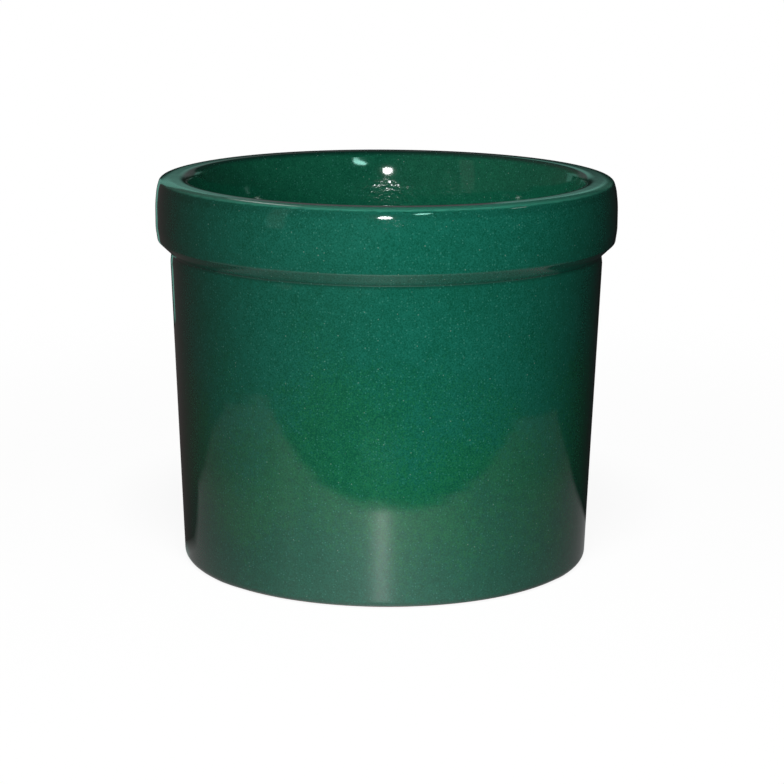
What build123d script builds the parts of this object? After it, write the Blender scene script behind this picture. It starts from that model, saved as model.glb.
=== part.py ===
from build123d import *
import os
from math import ceil, sqrt

# A wheel-thrown stoneware crock with a heavy banded rim, glazed inside and out.
# It stands on z = 0 with its axis on Z. All lengths are in millimetres.

# Overall sizes, over the glaze
crock_height = 138.0
wall_top_radius = 77.5
wall_taper = 4.2

# The inside, thrown straight and opened out towards the mouth
mouth_wall_thickness = 7.5
mouth_flare = 2.5
flare_height = 26.0
floor_thickness = 8.0
floor_corner_rounding = 11.0
lip_rounding = 4.0

# The band round the rim
band_projection = 5.0
band_height = 22.0
band_slope_height = 4.4
band_top_rounding = 4.0
band_low_rounding = 3.5

# The shallow groove that the throwing rib leaves under the band
groove_depth = 0.5
groove_height = 3.4

# The foot, hollowed underneath so that the crock stands on a ring
foot_recess_depth = 2.5
foot_ring_width = 7.5
foot_edge_rounding = 2.5

# Glaze coats
glaze_thickness = 0.5
glaze_stop_height = 0.4

# How far a cutting shape runs past what it cuts
overrun = 5.0

# The most that one short flat of a rounding turns, in degrees
flat_turn = 31

# The legs of a chamfer that touches a rounding in its middle, as a share of the rounding's radius
chamfer_share = 2 - sqrt(2)

# Places worked out from the sizes above
rim_radius = wall_top_radius + band_projection
mouth_radius = wall_top_radius - mouth_wall_thickness
bore_radius = mouth_radius - mouth_flare
wall_foot_radius = wall_top_radius - wall_taper
band_foot_height = crock_height - band_height
groove_root_height = band_foot_height - band_slope_height
groove_foot_height = groove_root_height - groove_height
wall_lean = wall_taper / groove_root_height
groove_foot_radius = wall_foot_radius + wall_lean * groove_foot_height
flare_foot_height = crock_height - flare_height
well_height = foot_recess_depth + floor_thickness
ring_inner_radius = wall_foot_radius - foot_ring_width
lip_chamfer = chamfer_share * (lip_rounding - glaze_thickness)
coat_join_radius = mouth_radius + glaze_thickness + lip_chamfer


def pot_corners(skin):
    """The corners of half the upright section, as radius and height, a skin below the glazed surface."""
    return {
        "recess middle": (0, foot_recess_depth),
        "recess edge": (ring_inner_radius, foot_recess_depth),
        "ring inside": (ring_inner_radius, 0),
        "foot": (wall_foot_radius - skin, 0),
        "groove foot": (groove_foot_radius - skin, groove_foot_height),
        "groove root": (wall_top_radius - groove_depth - skin, groove_root_height),
        "band foot": (rim_radius - skin, band_foot_height),
        "rim": (rim_radius - skin, crock_height - skin),
        "lip": (mouth_radius + skin, crock_height - skin),
        "flare foot": (bore_radius + skin, flare_foot_height),
        "floor corner": (bore_radius + skin, well_height - skin),
        "floor middle": (0, well_height - skin),
    }


def pot_section(skin, cut, sizes):
    """Half of the upright section a skin below the glaze, with the named corners chamfered or filleted."""
    corners = pot_corners(skin)
    section = make_face(Polyline(*corners.values(), close=True))
    for name, size in sizes.items():
        nearest_first = section.vertices().sort_by_distance(Vector(*corners[name]))
        section = cut(nearest_first[0], size)
    return section


def in_short_flats(section):
    """The section with each arc as a few chords, because a turned arc takes many facets and a chord few."""
    points = []
    for edge in section.wire().order_edges():
        turn = edge.tangent_angle_at(0) - edge.tangent_angle_at(1)
        turn = abs((turn + 180) % 360 - 180)
        flats = max(1, ceil(turn / flat_turn))
        points += [edge @ (step / flats) for step in range(flats)]
    return make_face(Polyline(*points, close=True))


def clay_section():
    """The clay, chamfered where the glaze over it is rounded, so that the glaze thins out at each arris."""
    chamfers = {
        "foot": foot_edge_rounding - glaze_thickness,
        "band foot": glaze_thickness,
        "rim": chamfer_share * (band_top_rounding - glaze_thickness),
        "lip": lip_chamfer,
        "floor corner": chamfer_share * (floor_corner_rounding + glaze_thickness),
    }
    return pot_section(glaze_thickness, chamfer, chamfers)


def glazed_section():
    """The crock over its glaze, with every corner that shows rounded."""
    roundings = {
        "foot": foot_edge_rounding,
        "band foot": band_low_rounding,
        "rim": band_top_rounding,
        "lip": lip_rounding,
        "floor corner": floor_corner_rounding,
    }
    return in_short_flats(pot_section(0, fillet, roundings))


def glaze_coats(clay):
    """The outer coat and the liner coat, as sections that lie face to face with the clay."""
    reach = rim_radius + overrun
    bare_foot = Pos(reach / 2, glaze_stop_height - overrun / 2) * Rectangle(reach, overrun)
    coat = glazed_section() - clay - bare_foot
    # The cut runs up through the middle of the floor and wall and parts the coats at the clay's inner arris.
    floor_middle = (foot_recess_depth + well_height) / 2
    wall_middle = (bore_radius + wall_foot_radius) / 2
    inside = make_face(
        Polyline(
            (0, floor_middle),
            (wall_middle, floor_middle),
            (coat_join_radius, flare_foot_height),
            (coat_join_radius, crock_height + overrun),
            (0, crock_height + overrun),
            close=True,
        )
    )
    return coat - inside, coat & inside


def turned(section):
    """A section turned once round the crock's axis."""
    return revolve(Plane.XZ * section, Axis.Z)


clay = clay_section()
outer_coat, liner_coat = glaze_coats(clay)

nodes = {
    "clay_body": turned(clay),
    "outer_glaze": turned(outer_coat),
    "liner_glaze": turned(liner_coat),
}

os.makedirs("parts", exist_ok=True)
for name, solid in nodes.items():
    export_step(solid, os.path.join("parts", name + ".step"))
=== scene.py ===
from math import cos, exp, pi, radians, sin, tan

import bmesh
import bpy
from bpy.props import FloatProperty, FloatVectorProperty, IntProperty, PointerProperty
from mathutils import Matrix, Vector, noise


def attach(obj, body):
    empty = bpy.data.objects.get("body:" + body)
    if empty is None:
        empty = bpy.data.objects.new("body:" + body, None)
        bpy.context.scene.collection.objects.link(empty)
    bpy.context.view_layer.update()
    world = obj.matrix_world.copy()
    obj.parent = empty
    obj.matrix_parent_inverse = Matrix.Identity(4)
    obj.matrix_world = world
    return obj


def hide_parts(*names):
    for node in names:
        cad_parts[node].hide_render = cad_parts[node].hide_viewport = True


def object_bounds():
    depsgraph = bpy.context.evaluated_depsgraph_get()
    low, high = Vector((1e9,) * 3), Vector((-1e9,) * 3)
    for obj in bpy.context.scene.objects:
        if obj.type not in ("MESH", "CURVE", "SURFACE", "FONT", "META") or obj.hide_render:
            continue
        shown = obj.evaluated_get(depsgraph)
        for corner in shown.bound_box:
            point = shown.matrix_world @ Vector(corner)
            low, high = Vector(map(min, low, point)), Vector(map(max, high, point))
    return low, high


bl_info = {
    "name": "Stoneware Crock",
    "version": (1, 0, 0),
    "blender": (4, 5, 0),
    "location": "3D View > Sidebar > Crock",
    "description": "Glazes and lights a thrown stoneware crock around its packed CAD frame",
    "category": "Object",
}

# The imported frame. Everything below is in metres, with the crock's foot on z = 0 and its axis on Z.
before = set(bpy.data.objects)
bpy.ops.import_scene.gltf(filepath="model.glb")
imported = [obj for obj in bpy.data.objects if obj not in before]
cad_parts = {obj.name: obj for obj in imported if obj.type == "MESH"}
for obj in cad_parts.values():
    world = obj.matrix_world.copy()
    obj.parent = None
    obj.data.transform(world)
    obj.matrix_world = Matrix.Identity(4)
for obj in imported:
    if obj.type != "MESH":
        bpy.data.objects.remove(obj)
cad_low, cad_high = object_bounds()
MM = 0.001


def rim_reach():
    """The radius that stays inside the CAD box on all four sides."""
    return min(-cad_low.x, -cad_low.y, cad_high.x, cad_high.y)


class CrockSizes(bpy.types.PropertyGroup):
    """Sizes of the thrown pot, over its glaze."""

    height: FloatProperty(name="Height", description="Foot to rim", default=cad_high.z, unit="LENGTH")
    rim_radius: FloatProperty(
        name="Rim radius", description="Axis to the band", default=rim_reach(), unit="LENGTH"
    )
    wall_top: FloatProperty(
        name="Wall radius, top", description="Wall just under the band", default=77.5 * MM, unit="LENGTH"
    )
    wall_foot: FloatProperty(
        name="Wall radius, foot", description="Wall at the foot", default=73.3 * MM, unit="LENGTH"
    )
    mouth: FloatProperty(name="Mouth radius", description="Axis to the lip", default=70.0 * MM, unit="LENGTH")
    bore: FloatProperty(
        name="Bore radius", description="Axis to the inner wall", default=67.5 * MM, unit="LENGTH"
    )
    band: FloatProperty(
        name="Band height", description="Straight band round the rim", default=22.0 * MM, unit="LENGTH"
    )
    tuck: FloatProperty(
        name="Band tuck", description="How far the band's foot is drawn in", default=0.6 * MM, unit="LENGTH"
    )
    step: FloatProperty(
        name="Step height", description="Slope under the band", default=4.4 * MM, unit="LENGTH"
    )
    groove: FloatProperty(
        name="Groove height", description="Hollow under the step", default=3.4 * MM, unit="LENGTH"
    )
    groove_depth: FloatProperty(
        name="Groove depth", description="How deep it is", default=0.5 * MM, unit="LENGTH"
    )
    floor: FloatProperty(name="Floor", description="Top of the floor", default=10.5 * MM, unit="LENGTH")
    floor_rounding: FloatProperty(
        name="Floor rounding", description="Inside corner at the floor", default=11.0 * MM, unit="LENGTH"
    )
    foot_rounding: FloatProperty(
        name="Foot rounding", description="Outer edge of the foot", default=2.5 * MM, unit="LENGTH"
    )
    recess: FloatProperty(
        name="Recess", description="Hollow under the foot", default=2.5 * MM, unit="LENGTH"
    )
    ring: FloatProperty(
        name="Foot ring", description="Width of the foot ring", default=7.5 * MM, unit="LENGTH"
    )
    glaze: FloatProperty(name="Glaze", description="Thickness of a coat", default=0.5 * MM, unit="LENGTH")
    glaze_stop: FloatProperty(
        name="Glaze line",
        description="How high the glaze is wiped off the foot",
        default=0.45 * MM,
        unit="LENGTH",
    )
    rings: FloatProperty(
        name="Throwing rings",
        description="Depth of the rings that fingers leave",
        default=0.035 * MM,
        unit="LENGTH",
    )
    turns: IntProperty(name="Steps round", description="Mesh steps in one turn", default=320, min=64)


class GlazeColours(bpy.types.PropertyGroup):
    """Colours of the glaze and of the bare clay."""

    shade: FloatVectorProperty(
        name="Shade", description="Dark grain of the glaze", subtype="COLOR", default=(0.003, 0.078, 0.044)
    )
    teal: FloatVectorProperty(
        name="Teal",
        description="Bluer grain, towards the rim and at the foot",
        subtype="COLOR",
        default=(0.010, 0.146, 0.101),
    )
    green: FloatVectorProperty(
        name="Green",
        description="Purer green grain, low on the wall",
        subtype="COLOR",
        default=(0.014, 0.177, 0.060),
    )
    fleck: FloatVectorProperty(
        name="Fleck", description="Fine light crystals", subtype="COLOR", default=(0.035, 0.21, 0.155)
    )
    spark: FloatVectorProperty(
        name="Spark", description="Rare pale crystals", subtype="COLOR", default=(0.13, 0.28, 0.22)
    )
    # A dark glaze colour: for pinholes, for the darker lines in the hollow and under the rim's edge, and for
    # painted shade on the inner half of the rim's top
    deep_and_shade: FloatVectorProperty(
        name="Deep", description="Glaze that has run together", subtype="COLOR", default=(0.003, 0.050, 0.032)
    )
    # Paler glaze on the rim's outer edge: partly glaze drawn thin, partly a painted highlight of the light
    # from above on its crest
    thin: FloatVectorProperty(
        name="Thin",
        description="Glaze drawn thin on the rim's edge",
        subtype="COLOR",
        default=(0.060, 0.39, 0.265),
    )
    clay: FloatVectorProperty(
        name="Clay", description="Bare stoneware", subtype="COLOR", default=(0.52, 0.42, 0.31)
    )
    toasted: FloatVectorProperty(
        name="Toasted",
        description="Clay that the kiln has browned",
        subtype="COLOR",
        default=(0.46, 0.30, 0.19),
    )
    iron: FloatVectorProperty(
        name="Iron", description="Dark specks in the clay", subtype="COLOR", default=(0.10, 0.055, 0.035)
    )


class StageLight(bpy.types.PropertyGroup):
    """Light and ground of the studio."""

    ground: FloatVectorProperty(
        name="Ground", description="Pale floor", subtype="COLOR", default=(0.82, 0.82, 0.82)
    )
    key: FloatProperty(name="Key", description="Soft lamp beside the camera", default=0.84, unit="POWER")
    bounce: FloatProperty(
        name="Bounce", description="Light thrown up by the sheet", default=0.05, unit="POWER"
    )
    streak: FloatProperty(
        name="Streak", description="The flash's glint on the sheet", default=0.72, unit="POWER"
    )
    flash: FloatProperty(name="Flash", description="Small lamp over the camera", default=1.06, unit="POWER")
    strip: FloatProperty(name="Strip", description="Narrow lamps at the right", default=0.34, unit="POWER")
    rear: FloatProperty(
        name="Rear", description="Lamps behind and over the pot", default=4.0, unit="POWER"
    )
    gap: FloatProperty(name="Gap", description="Tall narrow light far behind", default=0.05, unit="POWER")
    liner: FloatProperty(
        name="Liner", description="Lamps that reach into the mouth", default=1.45, unit="POWER"
    )
    top: FloatProperty(name="Top", description="Soft light from above", default=0.6, unit="POWER")
    shadow: FloatProperty(
        name="Shadow", description="Lamp that lights the floor", default=12.5, unit="POWER"
    )
    fill: FloatProperty(name="Fill", description="Light from all round", default=0.01, min=0)


# Shader maths


class Wire:
    """The output of a shader node. Python's operators on it add Math nodes."""

    def __init__(self, shader, socket):
        self.shader = shader
        self.socket = socket

    def __add__(self, other):
        return self.shader.sum_of("ADD", self, other)

    def __sub__(self, other):
        return self.shader.sum_of("SUBTRACT", self, other)

    def __rsub__(self, other):
        return self.shader.sum_of("SUBTRACT", other, self)

    def __mul__(self, other):
        return self.shader.sum_of("MULTIPLY", self, other)

    def __truediv__(self, other):
        return self.shader.sum_of("DIVIDE", self, other)

    def __rtruediv__(self, other):
        return self.shader.sum_of("DIVIDE", other, self)

    def __pow__(self, other):
        return self.shader.sum_of("POWER", self, other)

    __radd__ = __add__
    __rmul__ = __mul__


class Shader:
    """The node tree of one material, or of the world."""

    def __init__(self, tree):
        self.tree = tree
        tree.nodes.clear()

    def node(self, kind, settings=None, sockets=None, output=0):
        """Adds a node, with its settings first and then the values or links of its sockets."""
        made = self.tree.nodes.new(kind)
        for name, setting in (settings or {}).items():
            setattr(made, name, setting)
        for name, value in (sockets or {}).items():
            socket = next(s for s in made.inputs if name in (s.identifier, s.name))
            if isinstance(value, Wire):
                self.tree.links.new(value.socket, socket)
            else:
                socket.default_value = value
        if isinstance(output, str):
            return Wire(self, next(s for s in made.outputs if output in (s.identifier, s.name)))
        return Wire(self, made.outputs[output]) if made.outputs else None

    def sum_of(self, operation, first, second=0.0):
        """A Math node on numbers or wires."""
        return self.node("ShaderNodeMath", {"operation": operation}, {"Value": first, "Value_001": second})

    def axis(self, vector, name):
        """One number of a vector, by its axis."""
        return self.node("ShaderNodeSeparateXYZ", None, {"Vector": vector}, name)

    def away_from(self, value, middle):
        """How far a value is from a middle, either way."""
        return self.sum_of("ABSOLUTE", value - middle)

    def ramp(self, value, low, high):
        """0 up to low and 1 from high on, with a smooth change between. High may be the smaller one."""
        sockets = {"Value": value, "From Min": low, "From Max": high}
        return self.node("ShaderNodeMapRange", {"interpolation_type": "SMOOTHSTEP"}, sockets)

    def bell(self, value, middle, width):
        """1 at the middle, falling off to both sides like a bell."""
        return self.sum_of("EXPONENT", ((value - middle) / width) ** 2 * -1)

    def blend(self, share, first, second):
        """The first colour turned into the second by a share."""
        sockets = {"Factor_Float": share, "A_Color": first, "B_Color": second}
        return self.node("ShaderNodeMix", {"data_type": "RGBA"}, sockets, "Result_Color")

    def cloud(self, place, size, detail, roughness=0.5):
        """Soft noise from 0 to 1 with lumps of a size."""
        sockets = {"Vector": place, "Scale": 1 / size, "Detail": detail, "Roughness": roughness}
        return self.node("ShaderNodeTexNoise", None, sockets, "Fac")

    def dots(self, place, spacing, reach, share):
        """Round dots, as wide as a part of the spacing, on about a share of a scattered grid's points."""
        sockets = {"Vector": place, "Scale": 1 / spacing}
        near = self.node("ShaderNodeTexVoronoi", None, sockets, "Distance")
        tint = self.node("ShaderNodeTexVoronoi", None, sockets, "Color")
        chosen = self.node("ShaderNodeSeparateColor", None, {"Color": tint}, "Red")
        return self.ramp(near, reach, reach * 0.4) * self.ramp(chosen, 1 - share, 1 - share * 0.8)


def rgba(colour):
    """A colour with full alpha."""
    return (*colour, 1.0)


def new_material(name):
    """An empty node material and its shader."""
    material = bpy.data.materials.new(name)
    material.use_nodes = True
    return material, Shader(material.node_tree)


def place_in(shader):
    """The place on an object in metres, its distance from the axis and its height."""
    place = shader.node("ShaderNodeTexCoord", None, None, "Object")
    x, y = shader.axis(place, "X"), shader.axis(place, "Y")
    return place, (x * x + y * y) ** 0.5, shader.axis(place, "Z")


def bump_of(shader, height, depth):
    """A normal bent by a height from 0 to 1 that stands for a depth in metres."""
    return shader.node("ShaderNodeBump", None, {"Height": height, "Distance": depth})


# Sizes of the lumps and spacings of the dots that show in the glaze, and the depth of its bumps
GRAIN = 0.55 * MM
HUE_GRAIN = 0.75 * MM
PATCHES = 3.5 * MM
DRIFTS = 32 * MM
FLECK_SPACING = 0.9 * MM
SPARK_SPACING = 2.2 * MM
PINHOLE_SPACING = 5.5 * MM
ORANGE_PEEL = 1.7 * MM
RIPPLES = 6 * MM
DROPLETS = 1.3 * MM
BUMP_DEPTH = 0.06 * MM

# Heights where the grain turns teal, up the wall and down towards the foot, and how far each cloud moves them
UP_TO_TEAL = (35 * MM, 85 * MM)
DOWN_TO_TEAL = (45 * MM, 15 * MM)
DRIFT_MOVE = 90 * MM
PATCH_MOVE = 50 * MM
HUE_MOVE = 150 * MM

# The rim's outer edge, paler partly where the glaze is drawn thin and partly as a painted highlight of the
# light from above on its crest: how far down and in from the band it lies, the distances from there at which
# it ends and is full, and how far the patches fray it
THIN_HIGHLIT_EDGE_DOWN = 0.15 * MM
THIN_HIGHLIT_EDGE_IN = 3.1 * MM
THIN_HIGHLIT_EDGE_WIDTH = (1.3 * MM, 0.55 * MM)
THIN_HIGHLIT_EDGE_FRAY = 0.6 * MM

# The darker lines in the hollow under the band and below the rim's edge: where the second lies, and the
# distances at which each ends and is full
HOLLOW_WIDTH = (1.3 * MM, 0.2 * MM)
DARK_LINE_DOWN = 2.6 * MM
DARK_LINE_WIDTH = (1.5 * MM, 0.3 * MM)

# Painted shade on the inner half of the rim's top, where little light falls: how far down it ends and is
# full, and how far in from the band it is full and ends
LIP_SHADE_DOWN = (1.8 * MM, 0.3 * MM)
LIP_SHADE_IN = (8 * MM, 6 * MM)

# The droplets inside the mouth: how far down they start and are full, and how far aside they end and are full
DROPLETS_DOWN = (9.5 * MM, 13.5 * MM)
DROPLETS_ASIDE = (40 * MM, 16 * MM)

# Radii beyond the bore between which the inside of the pot gives way to its outside
OUTSIDE_BEYOND = (4 * MM, 5 * MM)


def grain_colour(shader, colours, place, height, outside, patches):
    """Dark grain with teal and green drifts, purest green low on the wall."""
    grain = shader.cloud(place, GRAIN, detail=2.0, roughness=0.8)
    hues = shader.cloud(place, HUE_GRAIN, detail=2.0, roughness=0.8)
    drifts = shader.cloud(place, DRIFTS, detail=2.0)
    tone = shader.ramp(grain + patches * 0.25 + drifts * 0.15, 0.45, 0.97)
    scatter = (drifts - 0.5) * DRIFT_MOVE + (patches - 0.5) * PATCH_MOVE + (hues - 0.5) * HUE_MOVE
    upper = shader.ramp(height + scatter, *UP_TO_TEAL)
    lower = shader.ramp(height + scatter, *DOWN_TO_TEAL)
    bluer = (upper + lower * 0.9) * (0.6 + outside * 0.4)
    light = shader.blend(bluer, rgba(colours.green), rgba(colours.teal))
    return shader.blend(tone, rgba(colours.shade), light)


def dark_lines_and_lip_shade(shader, colour, sizes, colours, radius, height, outside):
    """The glaze's colour, darker in the hollow under the band and in a line under the rim's edge, with
    painted shade on the inner half of the rim's top, where little light falls.
    """
    from_hollow = shader.away_from(height, sizes.height - sizes.band - sizes.step)
    at_hollow = shader.ramp(from_hollow, *HOLLOW_WIDTH) * outside
    colour = shader.blend(at_hollow * 0.55, colour, rgba(colours.deep_and_shade))
    from_line = shader.away_from(height, sizes.height - DARK_LINE_DOWN)
    under_rim = shader.ramp(from_line, *DARK_LINE_WIDTH) * outside
    colour = shader.blend(under_rim * 0.22, colour, rgba(colours.deep_and_shade))
    # Painted shade on the inner half of the rim's top, where little light falls
    high_up = shader.ramp(height, *(sizes.height - down for down in LIP_SHADE_DOWN))
    on_edge = shader.ramp(radius, *(sizes.rim_radius - inwards for inwards in LIP_SHADE_IN))
    return shader.blend(high_up * (1 - on_edge) * 0.8, colour, rgba(colours.deep_and_shade))


def thin_and_highlit_edge(shader, sizes, radius, height, patches):
    """1 on the rim's outer edge, where the glaze is drawn thin and a painted highlight stands for the light
    from above on its crest, and 0 elsewhere.
    """
    across = (radius - (sizes.rim_radius - THIN_HIGHLIT_EDGE_IN)) * 0.4
    down = height - (sizes.height - THIN_HIGHLIT_EDGE_DOWN)
    distance = (across**2 + down**2) ** 0.5
    return shader.ramp(distance + (patches - 0.5) * THIN_HIGHLIT_EDGE_FRAY, *THIN_HIGHLIT_EDGE_WIDTH)


def droplet_field(shader, sizes, place, height, outside):
    """1 inside the mouth at the front and back, where the glaze lies in droplets, and 0 elsewhere."""
    below = shader.ramp(height, *(sizes.height - down for down in DROPLETS_DOWN))
    ahead = shader.ramp(shader.axis(place, "X") ** 2, *(aside**2 for aside in DROPLETS_ASIDE))
    return (1 - outside) * below * ahead


def glaze_bump(shader, place, droplets, pinholes):
    """Orange peel and slow ripples all over, flattened droplets where they lie, and pinholes."""
    peel = shader.cloud(place, ORANGE_PEEL, detail=2.0)
    ripple = shader.cloud(place, RIPPLES, detail=1.0)
    flattening = {"Vector": place, "Vector_001": (0.7, 0.7, 1.0)}
    flat = shader.node("ShaderNodeVectorMath", {"operation": "MULTIPLY"}, flattening)
    drops = (shader.cloud(flat, DROPLETS, detail=1.0) - 0.5) * droplets
    height = peel * 0.06 + drops * 2.8 + ripple * (0.3 + droplets * 0.5) - pinholes * 0.5
    return bump_of(shader, height, BUMP_DEPTH)


def glaze_material(sizes, colours):
    """Glossy dark green glaze with a teal and green grain, light crystals and pinholes."""
    material, shader = new_material("bottle_glaze")
    place, radius, height = place_in(shader)
    outside = shader.ramp(radius, *(sizes.bore + beyond for beyond in OUTSIDE_BEYOND))
    patches = shader.cloud(place, PATCHES, detail=3.0, roughness=0.6)
    flecks = shader.dots(place, FLECK_SPACING, reach=0.36, share=0.30)
    sparks = shader.dots(place, SPARK_SPACING, reach=0.13, share=0.25)
    pinholes = shader.dots(place, PINHOLE_SPACING, reach=0.055, share=0.16)
    droplets = droplet_field(shader, sizes, place, height, outside)

    colour = grain_colour(shader, colours, place, height, outside, patches)
    colour = dark_lines_and_lip_shade(shader, colour, sizes, colours, radius, height, outside)
    # The paler rim edge: partly thin glaze, partly a painted highlight of the light from above on the crest
    thin = thin_and_highlit_edge(shader, sizes, radius, height, patches)
    colour = shader.blend(thin * 0.9, colour, rgba(colours.thin))
    colour = shader.blend(flecks * 0.75, colour, rgba(colours.fleck))
    colour = shader.blend(sparks * 0.8, colour, rgba(colours.spark))
    colour = shader.blend(pinholes, colour, rgba(colours.deep_and_shade))

    sockets = {
        "Base Color": colour,
        "Roughness": 0.055 + patches * 0.03 + droplets * 0.09,
        "IOR": 1.5,
        "Normal": glaze_bump(shader, place, droplets, pinholes),
    }
    body = shader.node("ShaderNodeBsdfPrincipled", None, sockets, "BSDF")
    shader.node("ShaderNodeOutputMaterial", None, {"Surface": body})
    return material


# Sizes of what shows in the bare clay, and the depth of its bumps
CLAY_GRAIN = 0.7 * MM
CLAY_TOAST = 18 * MM
SPECK_SPACING = 1.6 * MM
SCORE_PITCH = 0.9 * MM
CLAY_BUMP_DEPTH = 0.05 * MM


def clay_material(colours):
    """Dry buff stoneware with iron specks and the fine scores of trimming."""
    material, shader = new_material("dry_stoneware")
    place, radius, _ = place_in(shader)
    grain = shader.cloud(place, CLAY_GRAIN, detail=4.0, roughness=0.7)
    toast = shader.ramp(shader.cloud(place, CLAY_TOAST, detail=2.0), 0.35, 0.7)
    specks = shader.dots(place, SPECK_SPACING, reach=0.16, share=0.35)
    scores = shader.sum_of("SINE", radius * (2 * pi / SCORE_PITCH) + grain * 2.0)
    warm = shader.blend(toast * 0.5, rgba(colours.clay), rgba(colours.toasted))
    sockets = {
        "Base Color": shader.blend(specks * 0.8, warm, rgba(colours.iron)),
        "Roughness": 0.78 + grain * 0.15,
        "Normal": bump_of(shader, grain * 0.8 + scores * 0.25, CLAY_BUMP_DEPTH),
    }
    body = shader.node("ShaderNodeBsdfPrincipled", None, sockets, "BSDF")
    shader.node("ShaderNodeOutputMaterial", None, {"Surface": body})
    return material


# Turned shapes

# The most that a turned line runs between two of its points, on the glaze, where it is hidden and underneath,
# and about how many degrees a rounding turns between them
FINE_STEP = 0.7 * MM
COARSE_STEP = 2.5 * MM
FOOT_STEP = 1.5 * MM
ROUNDING_TURN = 7

# A point with a smaller radius lies on the axis
ON_AXIS = 1e-7

# Folds of the surface that are sharper than this many degrees aren't smoothed
SHARP_FOLD = 38

# Corners of the rim from its middle outwards to the band, and inwards to the mouth: how far away from the
# band or from the lip and how far down they lie, and their roundings, all in millimetres. A line that lies a
# skin deeper all round has them further away and up again by the last two shares of the skin.
BAND_CORNERS = [
    (4.0, 0.0, 9.0, 0.15, 0.0),
    (1.5, 0.75, 1.7, 0.82, 0.22),
    (0.6, 3.6, 16.0, 0.98, 0.8),
    (0.0, 8.8, 40.0, 1.0, 0.93),
]
LIP_CORNERS = [
    (2.75, 0.0, 5.0, 0.3, 0.0),
    (0.75, 1.25, 2.6, 0.84, 0.35),
    (-0.79, 6.1, 60.0, 0.97, 0.77),
]

# Heights above the band's foot where it starts to be drawn in and where it turns under
TUCK_START = 4.6 * MM
TUCK_END = 0.2 * MM

# The mouth closes in to a little less than the bore, and the bore is straight from lower down
THROAT_DOWN = 19.0 * MM
THROAT_TIGHTER = 0.5 * MM
STRAIGHT_DOWN = 62.0 * MM

# Roundings down the outside, down the inside and under the foot
TUCK_ROUNDING = 14.0 * MM
BAND_FOOT_ROUNDING = 1.2 * MM
HOLLOW_ROUNDING = 0.7 * MM
SWELL_ROUNDING = 6.0 * MM
THROAT_ROUNDING = 85.0 * MM
BORE_ROUNDING = 400.0 * MM
RING_ROUNDING = 0.8 * MM
RECESS_ROUNDING = 1.0 * MM
RECESS_LEAN = 0.4 * MM

# Marks of making: the slow waver of the wall and the pitch of the throwing rings, the room that the wall
# leaves for them inside its sizes, the fall of the rim, and the slow and quick wander of the wiped glaze line
WAVER = 0.10 * MM
RING_PITCH = 6.4 * MM
WAVER_ROOM = 0.16 * MM
RIM_FALL = 0.025 * MM
SLOW_WANDER = 0.22 * MM
QUICK_WANDER = 0.10 * MM

# How fast the waver and the unevenness of the rings change round the pot and up it, how far the unevenness
# shifts the rings, and their share of the stated depth inside and outside
WAVER_AROUND = 1.3
WAVER_UP = 14
UNEVEN_AROUND = 2.2
UNEVEN_UP = 60
RING_SHIFT = 5.0
INSIDE_RINGS = 0.55
OUTSIDE_RINGS = 0.12


def rounded_line(corners, step):
    """A line through corners, each a place and a rounding, as points at most a step apart."""
    line = [corners[0][0]]
    for (before, _), (place, rounding), (after, _) in zip(corners, corners[1:], corners[2:]):
        back = (before - place).normalized()
        ahead = (after - place).normalized()
        turn = pi - back.angle(ahead)
        centre = place + (back + ahead).normalized() * rounding / cos(turn / 2)
        start = place + back * rounding * tan(turn / 2) - centre
        end = place + ahead * rounding * tan(turn / 2) - centre
        parts = max(2, int(turn / radians(ROUNDING_TURN)), int(turn * rounding / step + 0.5))
        for part in range(parts + 1):
            along = turn * part / parts
            line.append(centre + (start * sin(turn - along) + end * sin(along)) / sin(turn))
    line.append(corners[-1][0])
    points = [line[0]]
    for start, end in zip(line, line[1:]):
        parts = max(1, int((end - start).length / step + 0.999))
        points += [start.lerp(end, part / parts) for part in range(1, parts + 1)]
    return points


def rim_middle(sizes):
    """Where the two coats meet, in the middle of the rim's flat top."""
    return (sizes.rim_radius + sizes.mouth) / 2


def rim_corners(table, edge, side, top, skin):
    """Corners of one side of the rim, which lie away from an edge inwards, side -1, or outwards, side 1."""
    corners = []
    for away, down, rounding, aside, up in table:
        radius = edge + side * (away * MM + skin * aside)
        corners.append((Vector((radius, top - down * MM + skin * up)), rounding * MM - skin))
    return corners


def outside_corners(sizes, skin):
    """From the middle of the rim down the outside to the foot, a skin below the glazed surface."""
    top = sizes.height - skin
    band = sizes.rim_radius - skin
    band_foot = sizes.height - sizes.band
    hollow = band_foot - sizes.step
    swell = hollow - sizes.groove
    lean = (sizes.wall_top - sizes.wall_foot) / hollow
    return [
        (Vector((rim_middle(sizes), top)), 0.0),
        *rim_corners(BAND_CORNERS, sizes.rim_radius, -1, top, skin),
        (Vector((band, band_foot + TUCK_START)), TUCK_ROUNDING - skin),
        (Vector((band - sizes.tuck, band_foot + TUCK_END)), BAND_FOOT_ROUNDING - skin),
        (Vector((sizes.wall_top - sizes.groove_depth - skin, hollow)), HOLLOW_ROUNDING + skin),
        (Vector((sizes.wall_foot + lean * swell - skin, swell)), SWELL_ROUNDING - skin),
        (Vector((sizes.wall_foot - skin, 0)), sizes.foot_rounding - skin),
        (Vector((sizes.wall_foot - sizes.ring / 2, 0)), 0.0),
    ]


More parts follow.
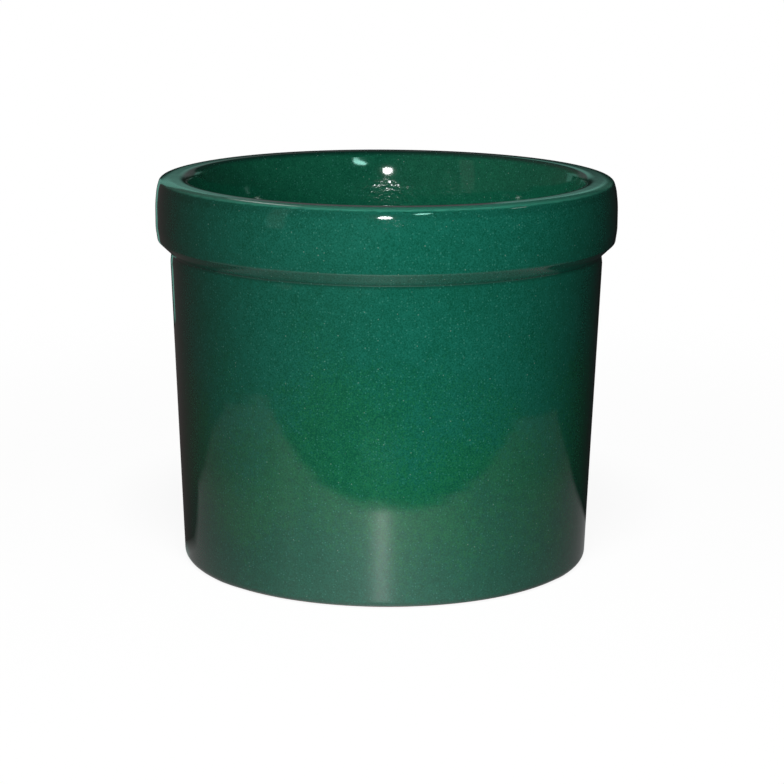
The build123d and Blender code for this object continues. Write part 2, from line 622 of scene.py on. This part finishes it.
def inside_corners(sizes, skin):
    """From the middle of the rim down the inside to the floor's middle, a skin below the glazed surface."""
    top = sizes.height - skin
    bore = sizes.bore + skin
    return [
        (Vector((rim_middle(sizes), top)), 0.0),
        *rim_corners(LIP_CORNERS, sizes.mouth, 1, top, skin),
        (Vector((bore - THROAT_TIGHTER, top - THROAT_DOWN)), THROAT_ROUNDING - skin),
        (Vector((bore, sizes.height - STRAIGHT_DOWN)), BORE_ROUNDING - skin),
        (Vector((bore, sizes.floor - skin)), sizes.floor_rounding + skin),
        (Vector((0, sizes.floor - skin)), 0.0),
    ]


def foot_corners(sizes, start):
    """From a place on the foot ring, under it and into the recess, to the middle of the recess."""
    ring_inner = sizes.wall_foot - sizes.ring
    return [
        (start, 0.0),
        (Vector((ring_inner, 0)), RING_ROUNDING),
        (Vector((ring_inner - RECESS_LEAN, sizes.recess)), RECESS_ROUNDING),
        (Vector((0, sizes.recess)), 0.0),
    ]


def hand_marks(sizes, radius, height, angle):
    """How far a thrower's fingers have pushed the wall out at a place. The inside has the deeper rings."""
    around = Vector((cos(angle), sin(angle), 0))
    inside = radius < (sizes.bore + sizes.wall_foot) / 2
    waver = noise.noise(around * WAVER_AROUND + Vector((0, 0, height * WAVER_UP)))
    uneven = noise.noise(around * UNEVEN_AROUND + Vector((7, 0, height * UNEVEN_UP)))
    spiral = sin(2 * pi * height / RING_PITCH + angle + RING_SHIFT * uneven)
    depth = sizes.rings * (INSIDE_RINGS if inside else OUTSIDE_RINGS) * (0.7 + 0.9 * uneven)
    return WAVER * waver + depth * spiral


def rim_wave(angle):
    """The slight rise and fall of the rim round the pot, always below its full height."""
    around = Vector((cos(angle), sin(angle), 3))
    return -RIM_FALL * (1 + noise.noise(around * 1.1))


def foot_wave(angle):
    """How far the wiped glaze line rises and falls round the foot."""
    around = Vector((cos(angle), sin(angle), 9))
    return SLOW_WANDER * noise.noise(around * 2.4) + QUICK_WANDER * noise.noise(around * 9)


def thrown(sizes, point, angle):
    """A point of a section carried to an angle, with the marks of making. Those on the wall fade out towards
    the middle of the floor, and the rim's wave fades out down the wall."""
    radius, height = point
    on_wall = min(1.0, radius / sizes.mouth) ** 8
    at_rim = (height / sizes.height) ** 6
    radius += (hand_marks(sizes, radius, height, angle) - WAVER_ROOM) * on_wall
    height += rim_wave(angle) * at_rim
    return (radius * cos(angle), radius * sin(angle), height)


def turned_mesh(name, sizes, section, closed, lift=None):
    """A closed section, or one that starts and ends on the axis, turned into a mesh by name."""
    turns = sizes.turns
    vertices, rows = [], []
    for point in section:
        if point.x < ON_AXIS:
            rows.append([len(vertices)] * turns)
            vertices.append((0, 0, point.y))
            continue
        rows.append(range(len(vertices), len(vertices) + turns))
        for turn in range(turns):
            angle = 2 * pi * turn / turns
            raised = point if lift is None else Vector((point.x, point.y + lift(point, angle)))
            vertices.append(thrown(sizes, raised, angle))
    faces = []
    pairs = list(zip(rows, rows[1:])) + ([(rows[-1], rows[0])] if closed else [])
    for row, after in pairs:
        for turn in range(turns):
            ahead = (turn + 1) % turns
            corners = [row[turn], row[ahead], after[ahead], after[turn]]
            faces.append(list(dict.fromkeys(corners)))
    mesh = bpy.data.meshes.new(name)
    mesh.from_pydata(vertices, [], [face for face in faces if len(face) > 2])
    shell = bmesh.new()
    shell.from_mesh(mesh)
    bmesh.ops.recalc_face_normals(shell, faces=shell.faces)
    shell.to_mesh(mesh)
    shell.free()
    mesh.shade_smooth()
    mesh.set_sharp_from_angle(angle=radians(SHARP_FOLD))
    return mesh


def add_piece(name, mesh, material, node):
    """A piece of the pot that stands for a CAD node."""
    piece = bpy.data.objects.new(name, mesh)
    bpy.context.scene.collection.objects.link(piece)
    mesh.materials.append(material)
    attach(piece, "root")
    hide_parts(node)
    return piece


def material_of(name, make):
    """The material by that name, made on its first use."""
    return bpy.data.materials.get(name) or make()


class CROCK_OT_outer_glaze(bpy.types.Operator):
    """Turn the glaze coat on the outside, from the middle of the rim to the wiped foot"""

    bl_idname = "crock.outer_glaze"
    bl_label = "Outer Glaze"

    def execute(self, context):
        sizes, colours = context.scene.crock_sizes, context.scene.crock_colours
        face = rounded_line(outside_corners(sizes, 0.0), FINE_STEP)
        back = rounded_line(outside_corners(sizes, sizes.glaze), COARSE_STEP)
        section = [point for point in face + back[::-1] if point.y > sizes.glaze_stop]

        def lift(point, angle):
            return foot_wave(angle) * exp(-(point.y - sizes.glaze_stop) / MM)

        mesh = turned_mesh("outer_glaze_coat", sizes, section, closed=True, lift=lift)
        material = material_of("bottle_glaze", lambda: glaze_material(sizes, colours))
        add_piece("outer_glaze_coat", mesh, material, "outer_glaze")
        return {"FINISHED"}


class CROCK_OT_liner_glaze(bpy.types.Operator):
    """Turn the glaze coat on the inside, from the middle of the rim over the wall and the floor"""

    bl_idname = "crock.liner_glaze"
    bl_label = "Liner Glaze"

    def execute(self, context):
        sizes, colours = context.scene.crock_sizes, context.scene.crock_colours
        face = rounded_line(inside_corners(sizes, 0.0), FINE_STEP)
        back = rounded_line(inside_corners(sizes, sizes.glaze), COARSE_STEP)
        mesh = turned_mesh("liner_glaze_coat", sizes, face[::-1] + back, closed=False)
        material = material_of("bottle_glaze", lambda: glaze_material(sizes, colours))
        add_piece("liner_glaze_coat", mesh, material, "liner_glaze")
        return {"FINISHED"}


class CROCK_OT_stoneware(bpy.types.Operator):
    """Turn the clay body, with its trimmed foot ring and the recess under it"""

    bl_idname = "crock.stoneware"
    bl_label = "Stoneware"

    def execute(self, context):
        sizes, colours = context.scene.crock_sizes, context.scene.crock_colours
        inside = rounded_line(inside_corners(sizes, sizes.glaze), COARSE_STEP)
        outside = rounded_line(outside_corners(sizes, sizes.glaze), COARSE_STEP)
        under = rounded_line(foot_corners(sizes, outside[-1]), FOOT_STEP)
        section = inside[::-1] + outside[1:] + under[1:]
        mesh = turned_mesh("stoneware_body", sizes, section, closed=False)
        material = material_of("dry_stoneware", lambda: clay_material(colours))
        add_piece("stoneware_body", mesh, material, "clay_body")
        return {"FINISHED"}


# Studio

# Outline of the pale sheet that the pot stands on, in millimetres, as it shows in the glaze
SHEET_EDGE = [
    (-290, -25),
    (-286, -100),
    (-280, -140),
    (-250, -162),
    (-140, -176),
    (10, -173),
    (96, -160),
    (165, -143),
    (235, -118),
    (262, -90),
    (275, 20),
    (190, 46),
    (110, 44),
    (-10, 10),
    (-88, -5),
    (-150, 35),
    (-240, 25),
]

# The sheet's middle, how far its edge fades either way and how far the dark floor runs on, in millimetres
SHEET_MIDDLE = (-30, -95)
EDGE_FADE = 9
DARK_FLOOR_REACH = 3000

# Radii of the dark room and of the floor, and how far the sheet lies above the pot's foot and the floor below
ROOM_RADIUS = 1.6
STAGE_RADIUS = 14
SHEET_HEIGHT = 0.4 * MM
FLOOR_DEPTH = 0.02 * MM

# Steps in a circle of the stage, and the degrees between two levels of the room's dome
STEPS = 64
DOME_STEP = 10

# Near the pot this share of the floor is white by itself and the rest takes light and shadow. Between these
# radii the floor turns white all over. Light that bounces on to the pot comes from a dim floor.
NEAR_WHITE_SHARE = 0.93
WHITE_FLOOR = (0.12, 0.5)
WHITE = (1.0, 1.0, 1.0, 1.0)
DIM_FLOOR = (0.05, 0.05, 0.05, 1.0)

# Painted light of the flash on the sheet, which only glows and shows in the glaze as a painted reflection:
# its brightness all over, in front, in the middle of the front and near the pot, with the middles and widths
# of the two bells in degrees and the radii where it starts to brighten and is brightest
SHEET_LEVEL = 0.085
FRONT_LEVEL = 0.42
FRONT_BELL = (-5, 52)
MIDDLE_LEVEL = 0.5
MIDDLE_BELL = (-1, 22)
NEAR_LEVEL = 0.10
NEAR_RADII = (0.21, 0.14)
SHEET_ROUGHNESS = 0.42

# Colours of the room at its left and right, of its window, and of the backdrop close behind the pot
ROOM_LEFT = (0.082, 0.070, 0.068, 1.0)
ROOM_RIGHT = (0.016, 0.016, 0.017, 1.0)
WINDOW = (0.30, 0.29, 0.28, 1.0)
BACKDROP_GREY = (0.15, 0.145, 0.15, 1.0)
BACKDROP_SIDE = (0.20, 0.47, 0.39, 1.0)
BACKDROP_END = (0.05, 0.11, 0.085, 1.0)
# Painted shadow of the pot on the backdrop
BACKDROP_SHADOW = (0.012, 0.012, 0.012, 1.0)

# Places along X between which the room turns from its left colour into its right one
ROOM_TURN = (-0.25, 0.12)

# The same for the backdrop, from its middle into its left side and its right side and on into its right end
LEFT_TURN = (-0.045, -0.105)
RIGHT_TURN = (0.045, 0.060)
END_TURN = (0.108, 0.130)

# Heights where the backdrop's painted shadow of the pot gives way to its glow and where it glows fully, and
# how far they come down at the left and go up at the right, each with the places along X between which they
# do
GLOW_HEIGHTS = (0.158, 0.198)
LEFT_DROP = 0.16
LEFT_DROP_TURN = (-0.135, -0.175)
RIGHT_RISE = 0.006
RIGHT_RISE_TURN = (-0.01, 0.04)


def seen_directly(shader):
    """1 for what the camera, a reflection or a clear surface sees, and 0 for light on the pot."""
    kinds = ("Is Camera Ray", "Is Glossy Ray", "Is Transmission Ray")
    camera, glossy, clear = (shader.node("ShaderNodeLightPath", None, None, kind) for kind in kinds)
    return shader.sum_of("MINIMUM", camera + glossy + clear, 1.0)


def glow(shader, colour):
    """A surface that only glows with a colour."""
    return shader.node("ShaderNodeEmission", None, {"Color": colour, "Strength": 1.0})


def floor_material(light):
    """Pale matt floor that looks white and keeps the pot's shadow. It is white all over further away."""
    material, shader = new_material("studio_floor")
    radius = place_in(shader)[1]
    matt = shader.node("ShaderNodeBsdfDiffuse", None, {"Color": rgba(light.ground)})
    share = NEAR_WHITE_SHARE + shader.ramp(radius, *WHITE_FLOOR) * (1 - NEAR_WHITE_SHARE)
    sockets = {"Fac": share, "Shader": matt, "Shader_001": glow(shader, WHITE)}
    seen = shader.node("ShaderNodeMixShader", None, sockets)
    dim = shader.node("ShaderNodeBsdfDiffuse", None, {"Color": DIM_FLOOR})
    sockets = {"Fac": seen_directly(shader), "Shader": dim, "Shader_001": seen}
    floor = shader.node("ShaderNodeMixShader", None, sockets)
    shader.node("ShaderNodeOutputMaterial", None, {"Surface": floor})
    return material


def end_card(material, shader, surface):
    """Ends the material of a card with its surface, and keeps it from being sampled as a lamp."""
    shader.node("ShaderNodeOutputMaterial", None, {"Surface": surface})
    material.cycles.emission_sampling = "NONE"
    return material


def room_colour(shader, x):
    """The dark room that the glaze reflects, a little lighter and browner at the left."""
    return shader.blend(shader.ramp(x, *ROOM_TURN), ROOM_LEFT, ROOM_RIGHT)


def room_material():
    """The walls and the ceiling of the dark room, a glow that shows only as a painted reflection."""
    material, shader = new_material("room_card")
    place = place_in(shader)[0]
    return end_card(material, shader, glow(shader, room_colour(shader, shader.axis(place, "X"))))


def sheet_material():
    """The dark floor of the room, with the pale sheet in front of the pot: the sheet's glow is painted light
    of the flash, and its gloss catches the streak lamp.
    """
    material, shader = new_material("sheet_card")
    place, radius, _ = place_in(shader)
    x, y = shader.axis(place, "X"), shader.axis(place, "Y")
    bearing = shader.sum_of("ARCTAN2", x, y * -1)
    front = shader.bell(bearing, *(radians(angle) for angle in FRONT_BELL))
    middle = shader.bell(bearing, *(radians(angle) for angle in MIDDLE_BELL))
    near = shader.ramp(radius, *NEAR_RADII)
    # Painted light of the flash on the sheet, brightest in front and near the pot
    level = SHEET_LEVEL + front * FRONT_LEVEL + middle * MIDDLE_LEVEL + near * NEAR_LEVEL
    brightness = {"Vector": (1.0, 1.0, 1.0), "Scale": level}
    matt = glow(shader, shader.node("ShaderNodeVectorMath", {"operation": "SCALE"}, brightness))
    gloss = shader.node("ShaderNodeBsdfAnisotropic", None, {"Color": WHITE, "Roughness": SHEET_ROUGHNESS})
    sheet = shader.node("ShaderNodeAddShader", None, {"Shader": matt, "Shader_001": gloss})
    on_sheet = shader.node("ShaderNodeAttribute", {"attribute_name": "on_sheet"}, None, "Fac")
    sockets = {"Fac": on_sheet, "Shader": glow(shader, room_colour(shader, x)), "Shader_001": sheet}
    return end_card(material, shader, shader.node("ShaderNodeMixShader", None, sockets))


def backdrop_material():
    """A backdrop close behind the pot, grey above it and sea green at the sides, as the rim shows it, and
    dark low down with a painted shadow of the pot.
    """
    material, shader = new_material("backdrop_card")
    place, _, height = place_in(shader)
    x = shader.axis(place, "X")
    right_side = shader.blend(shader.ramp(x, *END_TURN), BACKDROP_SIDE, BACKDROP_END)
    colour = shader.blend(shader.ramp(x, *RIGHT_TURN), BACKDROP_GREY, right_side)
    colour = shader.blend(shader.ramp(x, *LEFT_TURN), colour, BACKDROP_SIDE)
    dropped = shader.ramp(x, *LEFT_DROP_TURN) * LEFT_DROP
    raised = shader.ramp(x, *RIGHT_RISE_TURN) * RIGHT_RISE
    # Below these heights the backdrop shows a painted shadow of the pot
    lit = shader.ramp(height + dropped - raised, *GLOW_HEIGHTS)
    return end_card(material, shader, glow(shader, shader.blend(lit, BACKDROP_SHADOW, colour)))


def window_material():
    """A plain grey window in the room's left wall, a glow that shows only as a painted reflection."""
    material, shader = new_material("window_card")
    return end_card(material, shader, glow(shader, WINDOW))


def stage_object(name, vertices, faces, material):
    """A stage mesh."""
    mesh = bpy.data.meshes.new(name)
    mesh.from_pydata(vertices, [], faces)
    mesh.materials.append(material)
    made = bpy.data.objects.new(name, mesh)
    bpy.context.scene.collection.objects.link(made)
    return made


def only_in_gloss(card):
    """A card that shows in reflections and nowhere else."""
    card.visible_camera = False
    card.visible_diffuse = False
    card.visible_transmission = False
    card.visible_shadow = False


def ring(radius, height):
    """Points on a level circle."""
    angles = [2 * pi * step / STEPS for step in range(STEPS)]
    return [(radius * cos(angle), radius * sin(angle), height) for angle in angles]


def strip_faces(count, level):
    """Four-sided faces between one closed loop of points and the next, in a list of loops."""
    faces = []
    for k in range(count):
        a, b = count * level + k, count * level + (k + 1) % count
        faces.append((a, b, b + count, a + count))
    return faces


def dome(radius):
    """Points and faces of a round room with a domed ceiling."""
    levels = [(cos(radians(up)), sin(radians(up))) for up in range(0, 90, DOME_STEP)]
    points = [point for out, up in levels for point in ring(radius * out, radius * up)]
    faces = [face for level in range(len(levels) - 1) for face in strip_faces(STEPS, level)]
    return points, [*faces, range(len(points) - STEPS, len(points))]


def sheet_card():
    """The floor that the glaze reflects. Its attribute on_sheet is 1 on the sheet and 0 beyond its edge."""
    middle = Vector(SHEET_MIDDLE)
    loops = []
    for grown, share in ((-EDGE_FADE, 1.0), (EDGE_FADE, 0.0), (DARK_FLOOR_REACH, 0.0)):
        loop = [Vector(p) + (Vector(p) - middle).normalized() * grown for p in SHEET_EDGE]
        loops.append((loop, share))
    count = len(SHEET_EDGE)
    points = [(p.x * MM, p.y * MM, SHEET_HEIGHT) for loop, _ in loops for p in loop]
    faces = [range(count), *strip_faces(count, 0), *strip_faces(count, 1)]
    card = stage_object("floor_card", points, faces, sheet_material())
    shares = card.data.attributes.new("on_sheet", "FLOAT", "POINT")
    for vertex in range(len(points)):
        shares.data[vertex].value = loops[vertex // count][1]
    return card


def upright_card(name, material, azimuth, distance, width, low, high):
    """An upright card that faces the pot. Azimuth 0 is the camera's side and 90 the right."""
    around = radians(azimuth)
    away = Vector((sin(around), -cos(around), 0)) * distance
    aside = Vector((cos(around), sin(around), 0)) * (width / 2)
    corners = [away - aside, away + aside, away + aside, away - aside]
    heights = [low, low, high, high]
    points = [(p.x, p.y, z) for p, z in zip(corners, heights)]
    return stage_object(name, points, [range(4)], material)


def add_lamp(name, place, size, power, lit=(), turn=0.0):
    """A lamp aimed at the pot, from an azimuth, 0 at the camera's side and 90 at the right, an elevation and
    a distance. It lights everything, or only the objects named in lit."""
    azimuth, elevation, distance = place
    lamp = bpy.data.lights.new(name, "AREA")
    lamp.shape = "ELLIPSE"
    lamp.size, lamp.size_y = size
    lamp.energy = power
    made = bpy.data.objects.new(name, lamp)
    bpy.context.scene.collection.objects.link(made)
    around, up = radians(azimuth), radians(elevation)
    target = Vector((0, 0, (cad_low.z + cad_high.z) / 2))
    away = Vector((sin(around) * cos(up), -cos(around) * cos(up), sin(up)))
    made.location = target + away * distance
    aim = away.to_track_quat("Z", "Y").to_matrix() @ Matrix.Rotation(radians(turn), 3, "Z")
    made.rotation_euler = aim.to_euler()
    made.visible_camera = False
    if lit:
        group = bpy.data.collections.new(made.name + "_lights")
        for piece in lit:
            group.objects.link(bpy.data.objects[piece])
        made.light_linking.receiver_collection = group
    return made


def add_soft_lamp(*settings):
    """A lamp that lights the pot and doesn't show in its gloss."""
    lamp = add_lamp(*settings)
    lamp.visible_glossy = False
    return lamp


def add_glint_lamp(*settings):
    """A lamp that shows in the pot's gloss and doesn't light it."""
    lamp = add_lamp(*settings)
    lamp.visible_diffuse = False
    return lamp


def add_cards():
    """The dark room, the pale sheet, the backdrop and the window: cards that only glow and are seen only in
    the glaze, as painted reflections.
    """
    only_in_gloss(sheet_card())
    only_in_gloss(stage_object("room_card", *dome(ROOM_RADIUS), room_material()))
    behind = {"azimuth": 180, "distance": 0.30, "width": 0.40, "low": 0.02, "high": 0.235}
    only_in_gloss(upright_card("backdrop_card", backdrop_material(), **behind))
    at_left = {"azimuth": -53, "distance": 1.2, "width": 0.20, "low": 0.12, "high": 1.0}
    only_in_gloss(upright_card("window_card", window_material(), **at_left))


def add_soft_lamps(light):
    """The lamps that bring out the glaze's own colour, each on the pieces that it has to reach."""
    outer, liner, clay = "outer_glaze_coat", "liner_glaze_coat", "stoneware_body"
    add_soft_lamp("key", (3, 17, 0.385), (0.08, 0.08), light.key, (outer, clay))
    add_soft_lamp("bounce", (-3, -16.3, 0.203), (0.06, 0.03), light.bounce, (outer,))
    add_soft_lamp("liner_left", (-42, 20, 0.62), (0.12, 0.12), light.liner * 0.95, (liner,))
    add_soft_lamp("liner_front", (2, 18, 0.75), (0.12, 0.12), light.liner * 1.45, (liner,))
    add_soft_lamp("top", (0, 62, 0.9), (0.4, 0.4), light.top)
    add_soft_lamp("shadow", (0, 62, 1.0), (0.30, 0.30), light.shadow, ("floor",))
    add_soft_lamp("rear", (180, 2, 0.9), (0.25, 0.15), light.rear, (outer, clay))
    add_soft_lamp("rear_liner", (180, 22, 0.75), (0.12, 0.12), light.rear * 0.1, (liner,))
    well = add_soft_lamp("well", (0, 89.9, 0.53), (0.02, 0.02), light.rear * 0.012, (liner,))
    well.data.spread = radians(14)


def add_glints(light):
    """The flash, its glint on the sheet, two narrow strips and a gap far behind, seen only in the glaze."""
    outer, liner = "outer_glaze_coat", "liner_glaze_coat"
    add_lamp("streak", (-1.5, 14, 0.95), (0.08, 0.08), light.streak, ("floor_card",))
    add_glint_lamp("flash", (-0.5, 22.5, 0.90), (0.090, 0.070), light.flash, (outer, liner))
    strip = add_glint_lamp("strip", (18, 30, 0.90), (0.13, 0.06), light.strip, (outer, liner), 25)
    strip.data.color = (0.45, 1.0, 0.85)
    add_glint_lamp("side", (74, 38, 0.90), (0.13, 0.04), light.strip * 0.5, (outer,))
    add_glint_lamp("gap", (-168, 36, 1.0), (0.045, 0.3), light.gap, (outer,))


def add_world(scene, light):
    """A white surround for what is seen directly, which puts very little light on the pot."""
    world = bpy.data.worlds.new("studio")
    world.use_nodes = True
    shader = Shader(world.node_tree)
    strength = seen_directly(shader) * (1 - light.fill) + light.fill
    sky = shader.node("ShaderNodeBackground", None, {"Color": WHITE, "Strength": strength})
    shader.node("ShaderNodeOutputWorld", None, {"Surface": sky})
    scene.world = world


# The camera's sensor and lens in millimetres, where it stands, and the degrees it looks down and is rolled
SENSOR_WIDTH = 36
LENS = 112.17
CAMERA_PLACE = (2.3 * MM, -866.2 * MM, 252.44 * MM)
CAMERA_DOWN = 12.584
CAMERA_ROLL = 0.337


def add_camera(scene):
    """The camera where the photograph was taken from."""
    data = bpy.data.cameras.new("camera")
    data.sensor_width = SENSOR_WIDTH
    data.lens = LENS
    camera = bpy.data.objects.new("camera", data)
    scene.collection.objects.link(camera)
    stand = Matrix.Translation(CAMERA_PLACE)
    tilt = Matrix.Rotation(radians(90 - CAMERA_DOWN), 4, "X")
    roll = Matrix.Rotation(radians(CAMERA_ROLL), 4, "Z")
    camera.matrix_world = stand @ tilt @ roll
    scene.camera = camera


class CROCK_OT_stage(bpy.types.Operator):
    """Set up the pale floor, the lamps, the dark cards that the glaze reflects, and the camera"""

    bl_idname = "crock.stage"
    bl_label = "Studio"

    def execute(self, context):
        scene, light = context.scene, context.scene.crock_light
        stage_object("floor", ring(STAGE_RADIUS, -FLOOR_DEPTH), [range(STEPS)], floor_material(light))
        add_cards()
        add_soft_lamps(light)
        add_glints(light)
        add_world(scene, light)
        scene.view_settings.view_transform = "Standard"
        add_camera(scene)
        return {"FINISHED"}


class CROCK_PT_panel(bpy.types.Panel):
    """Sizes, colours and light of the crock, with its operators"""

    bl_label = "Stoneware Crock"
    bl_idname = "CROCK_PT_panel"
    bl_space_type = "VIEW_3D"
    bl_region_type = "UI"
    bl_category = "Crock"

    def draw(self, context):
        scene = context.scene
        for group in (scene.crock_sizes, scene.crock_colours, scene.crock_light):
            box = self.layout.box()
            for name in group.__annotations__:
                box.prop(group, name)
        for operator in OPERATORS:
            self.layout.operator(operator.bl_idname)


GROUPS = {"crock_sizes": CrockSizes, "crock_colours": GlazeColours, "crock_light": StageLight}
OPERATORS = (CROCK_OT_stoneware, CROCK_OT_outer_glaze, CROCK_OT_liner_glaze, CROCK_OT_stage)


def register():
    for made in (*GROUPS.values(), *OPERATORS, CROCK_PT_panel):
        bpy.utils.register_class(made)
    for name, group in GROUPS.items():
        setattr(bpy.types.Scene, name, PointerProperty(type=group))


def unregister():
    for name in GROUPS:
        delattr(bpy.types.Scene, name)
    for made in (CROCK_PT_panel, *OPERATORS, *GROUPS.values()):
        bpy.utils.unregister_class(made)


def main():
    """Builds the crock and its studio."""
    register()
    bpy.ops.crock.stoneware()
    bpy.ops.crock.outer_glaze()
    bpy.ops.crock.liner_glaze()
    bpy.ops.crock.stage()


if __name__ == "__main__":
    main()
